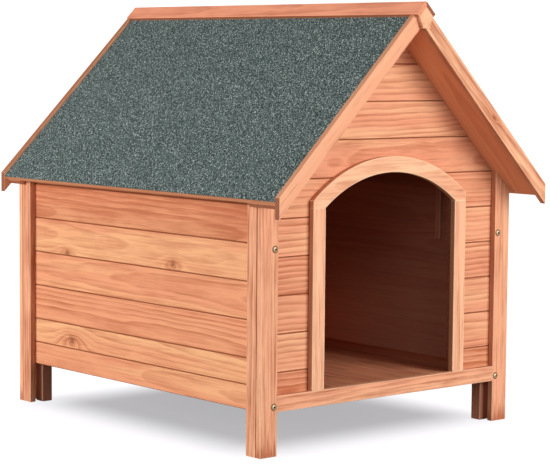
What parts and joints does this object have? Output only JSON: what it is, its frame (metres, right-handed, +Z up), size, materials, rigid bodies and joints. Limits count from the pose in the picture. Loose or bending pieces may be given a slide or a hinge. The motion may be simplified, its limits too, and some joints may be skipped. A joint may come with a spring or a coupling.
{
  "type": "dog house",
  "caption": "Wooden dog house with an arched doorway, tongue-and-groove plank walls, a raised floor and a pitched roof covered with mineral felt.",
  "frame": {"origin": "on the ground, in the middle of the roof's width and depth", "axes": "+X to the right seen from the doorway, +Y from the doorway to the rear wall, +Z up"},
  "size_m": [0.696, 0.907, 0.8334],
  "materials": {
    "wall_plank": "stained fir, satin",
    "corner_board": "stained fir, satin, paler",
    "post": "stained fir, satin",
    "rail": "stained fir, satin",
    "door_trim": "stained fir, satin, paler",
    "floor_board": "stained fir, matt",
    "bearer": "stained fir, matt",
    "cleat": "stained fir, matt",
    "ridge": "stained fir, satin",
    "barge_board": "stained fir, satin",
    "rafter": "stained fir, satin, darker",
    "roof_board": "stained fir, matt",
    "roof_felt": "bitumen felt with green-grey mineral granules",
    "bolt": "yellow zinc plate"
  },
  "bodies": {
    "root": {"front_left_corner_board": "corner_board", "front_left_side_board": "corner_board", "front_left_post": "post", "front_left_rafter": "rafter", "front_left_barge_board": "barge_board", "front_right_corner_board": "corner_board", "front_right_side_board": "corner_board", "front_right_post": "post", "front_right_rafter": "rafter", "front_right_barge_board": "barge_board", "front_rail": "rail", "rear_left_corner_board": "corner_board", "rear_left_side_board": "corner_board", "rear_left_post": "post", "rear_left_rafter": "rafter", "rear_left_barge_board": "barge_board", "rear_right_corner_board": "corner_board", "rear_right_side_board": "corner_board", "rear_right_post": "post", "rear_right_rafter": "rafter", "rear_right_barge_board": "barge_board", "rear_rail": "rail", "front_plank_1": "wall_plank", "front_plank_2": "wall_plank", "front_plank_3": "wall_plank", "front_plank_4": "wall_plank", "front_plank_5": "wall_plank", "front_plank_6": "wall_plank", "front_plank_7": "wall_plank", "front_gable_planks": "wall_plank", "rear_planks": "wall_plank", "left_skirting": "wall_plank", "left_plank_1": "wall_plank", "left_plank_2": "wall_plank", "left_plank_3": "wall_plank", "left_plank_4": "wall_plank", "left_plank_5": "wall_plank", "left_plank_6": "wall_plank", "door_jamb_left": "door_trim", "roof_boards_left": "roof_board", "roof_felt_left": "roof_felt", "ridge_cap_left": "ridge", "right_skirting": "wall_plank", "right_plank_1": "wall_plank", "right_plank_2": "wall_plank", "right_plank_3": "wall_plank", "right_plank_4": "wall_plank", "right_plank_5": "wall_plank", "right_plank_6": "wall_plank", "door_jamb_right": "door_trim", "roof_boards_right": "roof_board", "roof_felt_right": "roof_felt", "ridge_cap_right": "ridge", "door_arch": "door_trim", "floor_boards": "floor_board", "floor_bearers": "bearer", "ridge_beam": "ridge", "side_cleats": "cleat", "corner_bolts": "bolt"}
  },
  "joints": []
}
